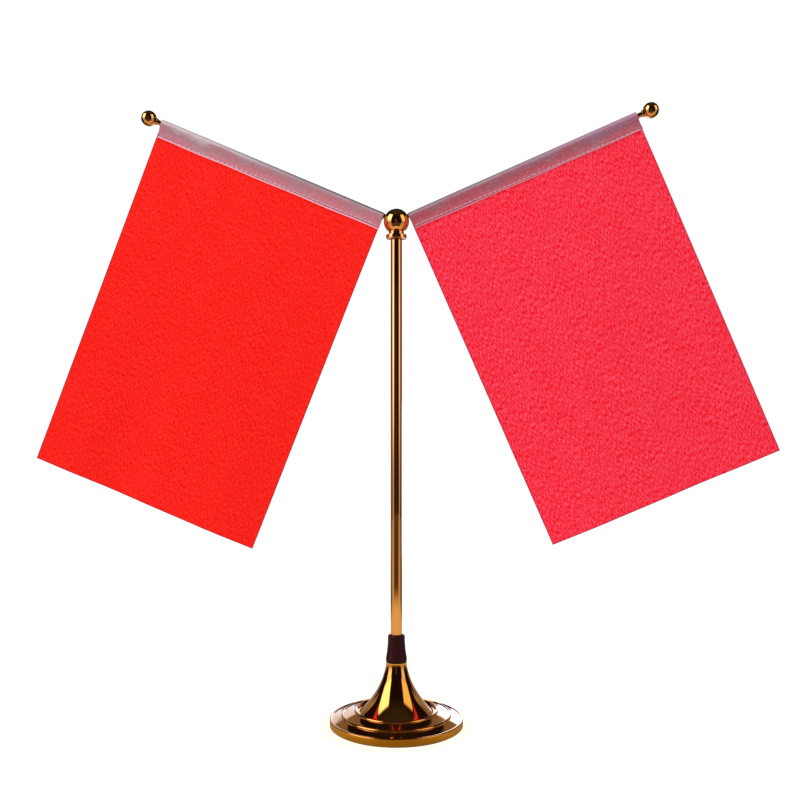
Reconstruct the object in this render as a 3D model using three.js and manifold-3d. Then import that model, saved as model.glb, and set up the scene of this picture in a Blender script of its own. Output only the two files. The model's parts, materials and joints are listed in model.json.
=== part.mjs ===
// Desk flag stand: a weighted, stepped round base, a thin upright pole and a ball hub that holds two
// rising rods, each with a small sleeved flag. Millimetres, +Z up. The origin is the centre of the
// foot pad's underside, and both rods lie in the XZ plane.
import * as THREE from "three";
import Module from "manifold-3d";
import { mergeVertices } from "three/addons/utils/BufferGeometryUtils.js";

// ---------------------------------------------------------------- driving sizes

// Clearances
const SEAT_GAP = 0.1; // between faces that turn or slide on each other
const FIT_GAP = 0.15; // radial, between a shaft and its hole
const DROP_IN_GAP = 0.3; // radial, where one piece lies loosely inside another
const CLOTH_GAP = 0.3; // between cloth and what it lies on

// Foot pad, and how far it holds the metal rim off the table
const PAD_THICKNESS = 1.5;
const RIM_OFF_TABLE = 0.6;

// Stepped cover: its rim, and how far each further step's raised lip lies in from and above the last
const BASE_RADIUS = 38;
const RIM_TOP = 4.9;
const STEPS_IN = [
  { width: 6.6, rise: 2.5 },
  { width: 7.4, rise: 2.3 },
];
const COVER_WALL = 0.8;
const LIP_ROUND = 0.5; // radius of a lip's rounded outer edge
const LIP_WIDTH = 1.1;
const LIP_DROP = 0.45; // from a lip down to the tread inside it
const TREAD_RISE = 1.55; // a tread climbs this much towards the next step
const SEAT_DROP = 1.5; // from the last lip down to the floor that carries the trumpet

// Trumpet-shaped column
const TRUMPET_HEIGHT = 28.3;
const TRUMPET_INSET = 1.7; // from the last lip in to the trumpet's foot
const TRUMPET_MOUTH_RADIUS = 5.95;
const TRUMPET_WALL = 1;
const FLARE_RUN = 0.678; // share of the flare's width that it crosses on its foot's slope
const FOOT_SLOPE = THREE.MathUtils.degToRad(40);
const MOUTH_PULL = 6.2; // how far the flare keeps close to upright below its mouth

// Clamp bolt, with its washer and nut
const HEX_ACROSS_FLATS = 7;
const HEAD_HEIGHT = 2.8;
const NUT_HEIGHT = 3.2;
const WASHER_RADIUS = 4.5;
const WASHER_THICKNESS = 0.8;
const THREAD_ENGAGED = 10; // how far a screw reaches into a pole insert

// Collar between the trumpet and the pole
const COLLAR_HEIGHT = 15.5;
const COLLAR_PROUD = 0.05; // how far the collar's foot stands out past the trumpet's mouth
const COLLAR_FOOT_HEIGHT = 2.2;
const COLLAR_TOP_WALL = 1.45;
const COLLAR_EDGE = 0.9; // radius of the rounded rim
const COLLAR_TUCK = 0.8; // how far the first third of the taper pulls in
const COLLAR_SHOULDER = 2.5; // the thickness that the pole stands on
const COLLAR_SPIGOT = 3; // how far the collar plugs into the trumpet's mouth

// Pole
const POLE_LENGTH = 239.4;
const POLE_RADIUS = 3.25;
const POLE_WALL = 0.5;
const INSERT_LENGTH = 12;
const INSERT_WALL = 0.5;

// Hub: flange, neck and ball in one turned piece
const FLANGE_RADIUS = 5.9;
const FLANGE_HEIGHT = 2.4;
const FLANGE_EDGE = 0.35;
const NECK_RADIUS = 4.35;
const NECK_HEIGHT = 1.7;
const HUB_RADIUS = 7.3;
const SOCKET_WEB = 2.2; // metal left between the hub's centre and a socket's floor

// Rods and their end balls
const ROD_RISE = THREE.MathUtils.degToRad(23.1);
const ROD_RADIUS = 1.4;
const ROD_SHOWING = 2.8; // bare rod between the flag and the end ball's neck
const END_BALL_RADIUS = 4.5;
const END_NECK_WALL = 0.4;
const END_NECK_LENGTH = 1.3;
const END_HOLE_DEPTH = 4.2;

// Flags
const FLAG_WIDTH = 140; // along the rod
const FLAG_DROP = 210; // from the fold over the rod down to the free edge
const FLAG_OFF_HUB = 1.2;
const PANEL_THICKNESS = 0.5;
const STRIP_THICKNESS = 0.45;
const LOOP_SLACK = 0.35; // room between the rod and the fold
const SLEEVE_DEPTH = 10.5; // from the fold to the strip's sewn edges
const SLEEVE_OVERLAP = 3.3; // how far the panel runs up between the strip's two edges
const SEAM_INSET = 1; // from the strip's edge to the seam
const THREAD_RADIUS = 0.2;

// Facets round a full turn
const FINE = 56;
const MEDIUM = 36;
const COARSE = 20;

// ---------------------------------------------------------------- heights up the axis, places along a rod

const tubeBore = POLE_RADIUS - POLE_WALL;
const screwHole = tubeBore - SEAT_GAP - INSERT_WALL;
const screwRadius = screwHole - FIT_GAP;
const endNeckRadius = ROD_RADIUS + FIT_GAP + END_NECK_WALL;

// Each step's radius, and the height of its lip
const steps = [{ radius: BASE_RADIUS, lip: RIM_TOP }];
for (const { width, rise } of STEPS_IN) {
  const outer = steps[steps.length - 1];
  steps.push({ radius: outer.radius - width, lip: outer.lip + rise });
}
const lastStep = steps[steps.length - 1];
const trumpetFoot = lastStep.radius - LIP_WIDTH - TRUMPET_INSET;
const seatFloor = lastStep.lip - SEAT_DROP;
const trumpetMouth = seatFloor + TRUMPET_HEIGHT;
const poleFoot = trumpetMouth + COLLAR_SHOULDER;
const poleTop = poleFoot + POLE_LENGTH;
const flangeBottom = poleTop + SEAT_GAP;
const neckBottom = flangeBottom + FLANGE_HEIGHT;
const ballStart = neckBottom + NECK_HEIGHT;
const hubCentre = ballStart + Math.sqrt(HUB_RADIUS ** 2 - NECK_RADIUS ** 2);
const boltHeadBottom = PAD_THICKNESS + SEAT_GAP;
const boltHeadTop = boltHeadBottom + HEAD_HEIGHT;
const washerTop = seatFloor + WASHER_THICKNESS;

const flagStart = HUB_RADIUS + FLAG_OFF_HUB;
const flagEnd = flagStart + FLAG_WIDTH;
const endNeckStart = flagEnd + ROD_SHOWING;
const endBallCentre =
  endNeckStart + END_NECK_LENGTH + Math.sqrt(END_BALL_RADIUS ** 2 - endNeckRadius ** 2);
const rodStart = SOCKET_WEB + SEAT_GAP;
const rodEnd = endNeckStart + END_HOLE_DEPTH - SEAT_GAP;

// ---------------------------------------------------------------- materials

const metal = (color, roughness) => new THREE.MeshStandardMaterial({ color, roughness, metalness: 1 });
const dull = (color, roughness) => new THREE.MeshStandardMaterial({ color, roughness, metalness: 0 });
const GOLD = metal(0xd9a441, 0.12);
const STEEL = metal(0xb9bcc0, 0.35);
const IRON = metal(0x3c3b3a, 0.7);
const MAROON = dull(0x2c0f12, 0.3);
const FELT = dull(0x161616, 0.95);
const RED_CLOTH = dull(0xf21c1c, 0.75);
const WHITE_SATIN = dull(0xd8d2d4, 0.5);
const THREAD = dull(0xf4f1f1, 0.6);

// ---------------------------------------------------------------- geometry helpers

const wasm = await Module();
wasm.setup();

const at = (radius, height) => new THREE.Vector2(radius, height);

// Turns a profile of (radius, height) points about the Z axis.
function turned(profile, facets) {
  return new THREE.LatheGeometry(profile, facets).rotateX(Math.PI / 2);
}

// Points of an arc in the (radius, height) plane, from one angle to another, in radians.
function arc(radius, height, size, from, to, steps) {
  const points = [];
  for (let i = 0; i <= steps; i++) {
    const angle = from + ((to - from) * i) / steps;
    points.push(at(radius + size * Math.cos(angle), height + size * Math.sin(angle)));
  }
  return points;
}

// A pipe or ring round the Z axis.
function ring(outer, inner, bottom, top, facets) {
  const profile = [
    at(inner, bottom),
    at(outer, bottom),
    at(outer, top),
    at(inner, top),
    at(inner, bottom),
  ];
  return turned(profile, facets);
}

// A solid cylinder round the Z axis.
function disc(radius, bottom, top, facets) {
  return turned([at(0, bottom), at(radius, bottom), at(radius, top), at(0, top)], facets);
}

// A hexagon's outline.
function hexagon() {
  const corner = HEX_ACROSS_FLATS / 2 / Math.cos(Math.PI / 6);
  const shape = new THREE.Shape();
  for (let i = 0; i < 6; i++) {
    const angle = (i * Math.PI) / 3;
    const point = [corner * Math.cos(angle), corner * Math.sin(angle)];
    if (i === 0) shape.moveTo(...point);
    else shape.lineTo(...point);
  }
  return shape.closePath();
}

function extruded(shape, depth) {
  return new THREE.ExtrudeGeometry(shape, { depth, bevelEnabled: false, curveSegments: 8 });
}

// A three.js geometry as a manifold-3d solid, and back.
function solidOf(geometry) {
  const bare = geometry.clone();
  bare.deleteAttribute("normal");
  bare.deleteAttribute("uv");
  const merged = mergeVertices(bare);
  return new wasm.Manifold(
    new wasm.Mesh({
      numProp: 3,
      vertProperties: merged.attributes.position.array,
      triVerts: new Uint32Array(merged.index.array),
    }),
  );
}

function geometryOf(solid) {
  const mesh = solid.getMesh();
  return new THREE.BufferGeometry()
    .setAttribute("position", new THREE.BufferAttribute(mesh.vertProperties, 3))
    .setIndex(new THREE.BufferAttribute(mesh.triVerts, 1));
}

const stand = new THREE.Group();

function add(parent, name, geometry, material) {
  const mesh = new THREE.Mesh(geometry, material);
  mesh.name = name;
  parent.add(mesh);
}

// ---------------------------------------------------------------- base

// The underside of the cover inside one step.
const ceiling = (step) => step.lip - LIP_DROP - COVER_WALL;
const seatCeiling = seatFloor - COVER_WALL;

function footPad() {
  return disc(BASE_RADIUS - COVER_WALL - DROP_IN_GAP, 0, PAD_THICKNESS, FINE);
}

// A pressed sheet shell: a rim wall, and steps with raised lips that climb to the trumpet's seat.
function baseCover() {
  const outside = [at(BASE_RADIUS, RIM_OFF_TABLE)];
  steps.forEach((step, i) => {
    outside.push(...arc(step.radius - LIP_ROUND, step.lip - LIP_ROUND, LIP_ROUND, 0, Math.PI / 2, 4));
    const tread = step.lip - LIP_DROP;
    const next = steps[i + 1];
    if (next) {
      outside.push(at(step.radius - LIP_WIDTH, tread));
      outside.push(at(next.radius, tread + TREAD_RISE));
    } else {
      outside.push(at(step.radius - LIP_WIDTH, seatFloor));
    }
  });
  outside.push(at(screwHole, seatFloor));
  const inside = [at(screwHole, seatCeiling)];
  [...steps].reverse().forEach((step, i) => {
    const wall = step.radius - COVER_WALL;
    inside.push(at(wall, i === 0 ? seatCeiling : ceiling(step)));
    inside.push(at(wall, i === steps.length - 1 ? RIM_OFF_TABLE : ceiling(steps[steps.length - 2 - i])));
  });
  return turned([...outside, ...inside, outside[0]], FINE);
}

// A stepped cast disc that fills the cover, with a pocket for the bolt's head underneath.
function baseWeight() {
  const pocket = HEX_ACROSS_FLATS / 2 / Math.cos(Math.PI / 6) + DROP_IN_GAP;
  const profile = [at(pocket, PAD_THICKNESS)];
  steps.forEach((step, i) => {
    const wall = step.radius - COVER_WALL - DROP_IN_GAP;
    const last = i === steps.length - 1;
    const below = i === 0 ? PAD_THICKNESS : ceiling(steps[i - 1]) - SEAT_GAP;
    profile.push(at(wall, below));
    profile.push(at(wall, last ? seatCeiling : ceiling(step) - SEAT_GAP));
  });
  profile.push(at(screwHole, seatCeiling));
  profile.push(at(screwHole, boltHeadTop));
  profile.push(at(pocket, boltHeadTop));
  profile.push(profile[0]);
  return turned(profile, FINE);
}

function clampBolt() {
  const head = extruded(hexagon(), HEAD_HEIGHT).translate(0, 0, boltHeadBottom);
  const shank = disc(screwRadius, boltHeadBottom, poleFoot + THREAD_ENGAGED, COARSE);
  return geometryOf(solidOf(head).add(solidOf(shank)));
}

function clampNut() {
  const shape = hexagon();
  shape.holes.push(new THREE.Path().absarc(0, 0, screwHole, 0, 2 * Math.PI, true));
  return extruded(shape, NUT_HEIGHT).translate(0, 0, washerTop);
}

// The flare's profile, from its foot to its mouth, moved in by an inset.
function flare(inset) {
  const foot = at(trumpetFoot - inset, seatFloor);
  const mouth = at(TRUMPET_MOUTH_RADIUS - inset, trumpetMouth);
  const run = FLARE_RUN * (foot.x - mouth.x);
  const offFoot = at(-run, run * Math.tan(FOOT_SLOPE)).add(foot);
  const offMouth = at(0, -MOUTH_PULL).add(mouth);
  return new THREE.CubicBezierCurve(foot, offFoot, offMouth, mouth).getPoints(16);
}

function trumpetColumn() {
  const outside = flare(0);
  const inside = flare(TRUMPET_WALL).reverse();
  return turned([...outside, ...inside, outside[0]], FINE);
}

// A tapered bush: a short straight foot, a flowing taper and a rounded rim, bored for the pole above
// its shoulder and for the bolt below it.
function collar() {
  const rim = trumpetMouth + COLLAR_HEIGHT;
  const bore = POLE_RADIUS + FIT_GAP;
  const topRadius = bore + COLLAR_TOP_WALL;
  const spigot = TRUMPET_MOUTH_RADIUS - TRUMPET_WALL - FIT_GAP;
  const footRadius = TRUMPET_MOUTH_RADIUS + COLLAR_PROUD;
  const footTop = at(footRadius, trumpetMouth + COLLAR_FOOT_HEIGHT);
  const taperTop = at(topRadius, rim - COLLAR_EDGE);
  const bend = (taperTop.y - footTop.y) / 3;
  const taper = new THREE.CubicBezierCurve(
    footTop,
    at(footTop.x - COLLAR_TUCK, footTop.y + bend),
    at(taperTop.x, taperTop.y - bend),
    taperTop,
  );
  const profile = [
    at(screwHole, trumpetMouth - COLLAR_SPIGOT),
    at(spigot, trumpetMouth - COLLAR_SPIGOT),
    at(spigot, trumpetMouth),
    at(footRadius, trumpetMouth),
    ...taper.getPoints(8),
    ...arc(topRadius - COLLAR_EDGE, rim - COLLAR_EDGE, COLLAR_EDGE, 0, Math.PI / 2, 3).slice(1),
    at(bore, rim),
    at(bore, poleFoot - SEAT_GAP),
    at(screwHole, poleFoot - SEAT_GAP),
  ];
  return turned([...profile, profile[0]], MEDIUM);
}

add(stand, "foot_pad", footPad(), FELT);
add(stand, "base_weight", baseWeight(), IRON);
add(stand, "base_cover", baseCover(), GOLD);
add(stand, "clamp_bolt", clampBolt(), STEEL);
add(stand, "clamp_washer", ring(WASHER_RADIUS, screwHole, seatFloor, washerTop, COARSE), STEEL);
add(stand, "clamp_nut", clampNut(), STEEL);
add(stand, "trumpet_column", trumpetColumn(), GOLD);
add(stand, "collar", collar(), MAROON);

// ---------------------------------------------------------------- pole

function insert(bottom) {
  return ring(tubeBore - SEAT_GAP, screwHole, bottom, bottom + INSERT_LENGTH, COARSE);
}

add(stand, "pole_tube", ring(POLE_RADIUS, tubeBore, poleFoot, poleTop, MEDIUM), GOLD);
add(stand, "pole_foot_insert", insert(poleFoot), STEEL);
add(stand, "pole_top_insert", insert(poleTop - INSERT_LENGTH), STEEL);

// ---------------------------------------------------------------- hub

// A tool as wide as a rod's socket, from the socket's floor to outside the ball, tilted up to one side.
function socketTool(side) {
  const reach = HUB_RADIUS + END_BALL_RADIUS;
  const tool = disc(ROD_RADIUS + FIT_GAP, SOCKET_WEB, reach, COARSE);
  return tool.rotateY(side * (Math.PI / 2 - ROD_RISE)).translate(0, 0, hubCentre);
}

function hubBall() {
  const start = Math.atan2(ballStart - hubCentre, NECK_RADIUS);
  const profile = [
    at(0, poleTop - THREAD_ENGAGED),
    at(screwRadius, poleTop - THREAD_ENGAGED),
    at(screwRadius, flangeBottom),
    at(FLANGE_RADIUS - FLANGE_EDGE, flangeBottom),
    at(FLANGE_RADIUS, flangeBottom + FLANGE_EDGE),
    at(FLANGE_RADIUS, neckBottom - FLANGE_EDGE),
    at(FLANGE_RADIUS - FLANGE_EDGE, neckBottom),
    at(NECK_RADIUS, neckBottom),
    ...arc(0, hubCentre, HUB_RADIUS, start, Math.PI / 2, 18),
  ];
  profile[profile.length - 1].x = 0;
  const body = solidOf(turned(profile, MEDIUM));
  return geometryOf(body.subtract(solidOf(socketTool(-1))).subtract(solidOf(socketTool(1))));
}

add(stand, "hub_ball", hubBall(), GOLD);

// ---------------------------------------------------------------- arms: a rod, its end ball and its flag

// An arm is modelled along +X from the hub's centre, with the flag hanging towards -Z.
function arm(side) {
  const turn = new THREE.Group();
  turn.position.z = hubCentre;
  turn.rotation.z = side < 0 ? Math.PI : 0;
  const rise = new THREE.Group();
  rise.rotation.y = -ROD_RISE;
  turn.add(rise);
  stand.add(turn);
  return rise;
}

// Turns a profile about X instead of Z.
const alongX = (geometry) => geometry.rotateY(Math.PI / 2);

function rod() {
  return alongX(disc(ROD_RADIUS, rodStart, rodEnd, COARSE));
}

// A ball with a short neck, drilled blind for the end of the rod.
function endBall() {
  const hole = ROD_RADIUS + FIT_GAP;
  const start = Math.atan2(-(endBallCentre - endNeckStart - END_NECK_LENGTH), endNeckRadius);
  const profile = [
    at(0, endNeckStart + END_HOLE_DEPTH),
    at(hole, endNeckStart + END_HOLE_DEPTH),
    at(hole, endNeckStart),
    at(endNeckRadius, endNeckStart),
    ...arc(0, endBallCentre, END_BALL_RADIUS, start, Math.PI / 2, 12),
  ];
  profile[profile.length - 1].x = 0;
  return alongX(turned(profile, MEDIUM));
}

const panelSide = PANEL_THICKNESS / 2;
const stripInside = panelSide + CLOTH_GAP;
const stripOutside = stripInside + STRIP_THICKNESS;
const loopInside = ROD_RADIUS + LOOP_SLACK;
const loopOutside = loopInside + STRIP_THICKNESS;
const stripEdge = loopOutside - SLEEVE_DEPTH; // heights below the rod's axis are negative
const panelTop = stripEdge + SLEEVE_OVERLAP;
const flatStart = panelTop + 1; // where the two halves of the strip run parallel

// A strip folded over the rod, with its two edges on either side of the panel. The section's x is
// across the flag and its y is up.
function flagSleeve() {
  const section = new THREE.Shape();
  section.moveTo(stripOutside, stripEdge);
  section.lineTo(stripOutside, flatStart);
  section.lineTo(loopOutside, 0);
  section.absarc(0, 0, loopOutside, 0, Math.PI, false);
  section.lineTo(-stripOutside, flatStart);
  section.lineTo(-stripOutside, stripEdge);
  section.lineTo(-stripInside, stripEdge);
  section.lineTo(-stripInside, flatStart);
  section.lineTo(-loopInside, 0);
  section.absarc(0, 0, loopInside, Math.PI, 0, true);
  section.lineTo(stripInside, flatStart);
  section.lineTo(stripInside, stripEdge);
  section.closePath();
  const length = extruded(section, FLAG_WIDTH).rotateX(Math.PI / 2).rotateZ(Math.PI / 2);
  return length.translate(flagStart, 0, 0);
}

function flagPanel() {
  const bottom = loopOutside - FLAG_DROP;
  const height = panelTop - bottom;
  const middle = (panelTop + bottom) / 2;
  return new THREE.BoxGeometry(FLAG_WIDTH, PANEL_THICKNESS, height).translate(
    (flagStart + flagEnd) / 2,
    0,
    middle,
  );
}

// One run of sewing thread along the seam, on the face of the strip that looks towards +Y or -Y.
function seamThread(face) {
  const off = face * (stripOutside + CLOTH_GAP + THREAD_RADIUS);
  const length = FLAG_WIDTH - 2 * SEAM_INSET;
  const thread = new THREE.CylinderGeometry(THREAD_RADIUS, THREAD_RADIUS, length, 8).rotateZ(Math.PI / 2);
  return thread.translate((flagStart + flagEnd) / 2, off, stripEdge + SEAM_INSET);
}

for (const [name, side] of [
  ["left", -1],
  ["right", 1],
]) {
  const group = arm(side);
  add(group, `${name}_rod`, rod(), GOLD);
  add(group, `${name}_end_ball`, endBall(), GOLD);
  add(group, `${name}_flag_sleeve`, flagSleeve(), WHITE_SATIN);
  add(group, `${name}_flag_panel`, flagPanel(), RED_CLOTH);
  add(group, `${name}_front_seam_thread`, seamThread(-side), THREAD);
  add(group, `${name}_back_seam_thread`, seamThread(side), THREAD);
}

export default stand;
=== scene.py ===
"""Desk flag stand: a weighted, stepped gold base, a thin gold pole and a ball hub that holds two rods,
each with a small red flag on a satin sleeve. The pieces follow the order in which the stand goes together.
"""

import json
import math

import bpy
from mathutils import Matrix, Vector
from mathutils.geometry import interpolate_bezier


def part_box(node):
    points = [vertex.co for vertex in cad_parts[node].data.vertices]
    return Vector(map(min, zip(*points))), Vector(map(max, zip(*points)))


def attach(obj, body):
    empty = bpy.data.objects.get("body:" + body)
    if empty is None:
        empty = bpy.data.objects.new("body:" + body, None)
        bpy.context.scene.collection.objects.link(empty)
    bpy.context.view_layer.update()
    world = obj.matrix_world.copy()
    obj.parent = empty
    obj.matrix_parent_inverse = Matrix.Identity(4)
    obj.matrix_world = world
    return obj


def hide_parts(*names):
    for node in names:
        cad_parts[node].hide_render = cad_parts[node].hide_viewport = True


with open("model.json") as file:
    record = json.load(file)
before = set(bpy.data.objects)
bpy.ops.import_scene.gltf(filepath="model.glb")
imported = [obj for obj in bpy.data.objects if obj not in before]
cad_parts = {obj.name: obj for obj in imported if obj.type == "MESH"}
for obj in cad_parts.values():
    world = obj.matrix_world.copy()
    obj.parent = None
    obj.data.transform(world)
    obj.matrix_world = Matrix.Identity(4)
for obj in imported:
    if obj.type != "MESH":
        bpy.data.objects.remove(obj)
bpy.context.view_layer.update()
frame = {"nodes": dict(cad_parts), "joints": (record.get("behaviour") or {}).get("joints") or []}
MM = 0.001

# ---------------------------------------------------------------- camera
# It stands a good half metre in front of the stand and a little to its right, level with the middle of
# the pole. Its lens is a little longer than a normal one.

CAMERA_DISTANCE = 562.7 * MM
CAMERA_HEIGHT = 184.5 * MM
CAMERA_TURN = math.radians(3.19)
CAMERA_TILT = math.radians(0.17)
LENS = 44.2
LENS_SHIFT = 0.0045

camera = bpy.data.objects.new("camera", bpy.data.cameras.new("camera"))
bpy.context.collection.objects.link(camera)
camera.location = (
    CAMERA_DISTANCE * math.sin(CAMERA_TURN),
    -CAMERA_DISTANCE * math.cos(CAMERA_TURN),
    CAMERA_HEIGHT,
)
camera.rotation_euler = (math.pi / 2 + CAMERA_TILT, 0, CAMERA_TURN)
camera.data.lens = LENS
camera.data.shift_x = LENS_SHIFT
camera.data.clip_start = 0.02
bpy.context.scene.camera = camera

# ---------------------------------------------------------------- studio
# A pale table top under a plain white room. Two tall soft boxes stand to the left and right of the
# camera, with a lit backdrop behind the stand. The polished gold shows them as bright bands.

PAPER_WHITE = 1.06
ROOM_DARK = (0.013, 0.008, 0.009)
CEILING = (0.04, 0.036, 0.034)
CEILING_STARTS, CEILING_FULL = math.radians(40), math.radians(70)


def join_up(tree, source, target):
    """Wires a value, or sets it where it is a plain number or colour."""
    if isinstance(source, bpy.types.NodeSocket):
        tree.links.new(source, target)
    else:
        target.default_value = source


def maths(tree, operation, *values):
    node = tree.nodes.new("ShaderNodeMath")
    node.operation = operation
    for value, socket in zip(values, node.inputs):
        join_up(tree, value, socket)
    return node.outputs[0]


def ramp_between(tree, value, low, high, to_low=0.0, to_high=1.0):
    """Eases from one value to another as the input goes from low to high."""
    node = tree.nodes.new("ShaderNodeMapRange")
    node.interpolation_type = "SMOOTHSTEP"
    for name, source in (
        ("Value", value), ("From Min", low), ("From Max", high), ("To Min", to_low), ("To Max", to_high),
    ):
        join_up(tree, source, node.inputs[name])
    return node.outputs[0]


def soft_window(tree, value, low, high, edge):
    """1 between low and high and 0 outside them, with soft edges."""
    rise = ramp_between(tree, value, low - edge, low + edge)
    fall = ramp_between(tree, value, high - edge, high + edge, 1.0, 0.0)
    return maths(tree, "MULTIPLY", rise, fall)


def colour_mix(tree, factor, first, second):
    node = tree.nodes.new("ShaderNodeMix")
    node.data_type = "RGBA"
    for name, source in (("Factor", factor), ("A", first), ("B", second)):
        if isinstance(source, tuple):
            source = (*source, 1)
        join_up(tree, source, node.inputs[name])
    return node.outputs["Result"]


# Lit areas round the room: middle and half width in degrees to the right of the camera, lowest and
# highest elevation in degrees, soft edges at the sides and ends, and colour. Each covers the ones before it.
LIT_AREAS = (
    (180, 46, -90, 22, 4, 2, (0.30, 0.25, 0.17)),
    (126, 10, 15, 24, 2.5, 2.5, (0.42, 0.38, 0.30)),
    (-126, 10, 15, 24, 2.5, 2.5, (0.42, 0.38, 0.30)),
    (-64, 18, -90, 6, 3.5, 5, (0.50, 0.47, 0.42)),
    (70, 15, -90, 6, 3.5, 5, (0.50, 0.48, 0.46)),
    (-64, 18, 1, 20, 3.5, 8, (2.1, 2.1, 2.7)),
    (70, 15, 0, 20, 3.5, 8, (1.2, 1.25, 1.6)),
    (-66, 23, 18, 51, 3.5, 3.5, (3.1, 3.0, 3.2)),
    (69, 20, 18, 48, 3.5, 3.5, (1.4, 1.25, 0.8)),
    (0, 4, -25, 13, 3, 3, (0.16, 0.12, 0.12)),
)

room = bpy.data.worlds.new("room")
bpy.context.scene.world = room
room.use_nodes = True
tree = room.node_tree
tree.nodes.clear()
ray = tree.nodes.new("ShaderNodeTexCoord").outputs["Generated"]
split = tree.nodes.new("ShaderNodeSeparateXYZ")
tree.links.new(ray, split.inputs[0])
bearing = maths(tree, "ARCTAN2", split.outputs["X"], maths(tree, "MULTIPLY", split.outputs["Y"], -1.0))
rise = maths(tree, "ARCSINE", split.outputs["Z"])
overhead = ramp_between(tree, rise, CEILING_STARTS, CEILING_FULL)
glow = colour_mix(tree, overhead, ROOM_DARK, CEILING)
for middle, half, lowest, highest, side_edge, end_edge, colour in LIT_AREAS:
    off_middle = maths(tree, "SUBTRACT", bearing, math.radians(middle))
    off_middle = maths(tree, "ARCCOSINE", maths(tree, "COSINE", off_middle))
    inner, outer = math.radians(half - side_edge), math.radians(half + side_edge)
    across = ramp_between(tree, off_middle, inner, outer, 1.0, 0.0)
    upright = soft_window(tree, rise, math.radians(lowest), math.radians(highest), math.radians(end_edge))
    glow = colour_mix(tree, maths(tree, "MULTIPLY", across, upright), glow, colour)
seen = tree.nodes.new("ShaderNodeBackground")
seen.inputs["Color"].default_value = (1, 1, 1, 1)
seen.inputs["Strength"].default_value = PAPER_WHITE
lighting = tree.nodes.new("ShaderNodeBackground")
tree.links.new(glow, lighting.inputs["Color"])
either = tree.nodes.new("ShaderNodeMixShader")
tree.links.new(tree.nodes.new("ShaderNodeLightPath").outputs["Is Camera Ray"], either.inputs[0])
tree.links.new(lighting.outputs[0], either.inputs[1])
tree.links.new(seen.outputs[0], either.inputs[2])
tree.links.new(either.outputs[0], tree.nodes.new("ShaderNodeOutputWorld").inputs[0])


def soft_light(name, where, aim, size, watts):
    """A large soft lamp that lights cloth and table but doesn't show in the gold."""
    lamp = bpy.data.lights.new(name, "AREA")
    lamp.size = size
    lamp.energy = watts
    holder = bpy.data.objects.new(name, lamp)
    bpy.context.collection.objects.link(holder)
    holder.location = where
    holder.rotation_euler = (Vector(aim) - Vector(where)).to_track_quat("-Z", "Y").to_euler()
    holder.visible_glossy = False
    holder.visible_camera = False


soft_light("front_fill", (-0.15, -1.5, 0.75), (0, 0, 0.22), 1.1, 16.8)
soft_light("top_fill", (0, -0.1, 1.6), (0, 0, 0), 1.2, 14)
soft_light("back_fill", (0.1, 1.5, 0.9), (0, 0, 0.2), 1.1, 7)

# The table is white to the eye, with a painted gold glow round the base that stands in for light thrown off
# the gold.
# The gold sees it in other tones of painted light and shade, by distance from the stand and by side: painted
# light where the soft boxes light its two sides, and painted shade where the rest falls off.
TABLE_RADIUS = 0.75
NEAR_ENDS = (0.06, 0.11)
FAR_STARTS = (0.19, 0.28)
NEAR_PAINTED_SHADE, NEAR_PAINTED_LIGHT = (0.26, 0.23, 0.17), (0.40, 0.37, 0.31)
MIDDLE_TONE = (0.66, 0.60, 0.48)
FAR_PAINTED_SHADE, FAR_PAINTED_LIGHT, FAR_BEHIND_PAINTED_SHADE = (0.065, 0.045, 0.04), (0.52, 0.46, 0.38), (0.10, 0.085, 0.07)
PAPER_GREY = (0.08, 0.08, 0.08)  # kept low, because the paper's own light makes it white
# A painted glow round the base, standing in for light thrown off the gold, and how far out it fades.
PAINTED_GOLD_GLOW = (1.0, 0.97, 0.80)
GLOW_FADES = (0.038, 0.052)
LIT_SIDE_STARTS, LIT_SIDE_ENDS, LIT_SIDE_EDGE = (math.radians(angle) for angle in (48, 92, 9))
BEHIND_STARTS = (math.radians(90), math.radians(100))

bpy.ops.object.select_all(action="DESELECT")
bpy.ops.mesh.primitive_circle_add(vertices=96, radius=TABLE_RADIUS, fill_type="NGON")
table_top = bpy.context.object
table_top.name = "table_top"
paper = bpy.data.materials.new("table_paper")
paper.use_nodes = True
tree = paper.node_tree
shader = tree.nodes["Principled BSDF"]
shader.inputs["Roughness"].default_value = 0.9
shader.inputs["Specular IOR Level"].default_value = 0.1
table_place = tree.nodes.new("ShaderNodeTexCoord").outputs["Object"]
length = tree.nodes.new("ShaderNodeVectorMath")
length.operation = "LENGTH"
tree.links.new(table_place, length.inputs[0])
from_base = length.outputs["Value"]
table_split = tree.nodes.new("ShaderNodeSeparateXYZ")
tree.links.new(table_place, table_split.inputs[0])
forward = maths(tree, "MULTIPLY", table_split.outputs["Y"], -1.0)
to_side = maths(tree, "ABSOLUTE", maths(tree, "ARCTAN2", table_split.outputs["X"], forward))
lit_side = soft_window(tree, to_side, LIT_SIDE_STARTS, LIT_SIDE_ENDS, LIT_SIDE_EDGE)
in_front = ramp_between(tree, to_side, *BEHIND_STARTS, 1.0, 0.0)
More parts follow.
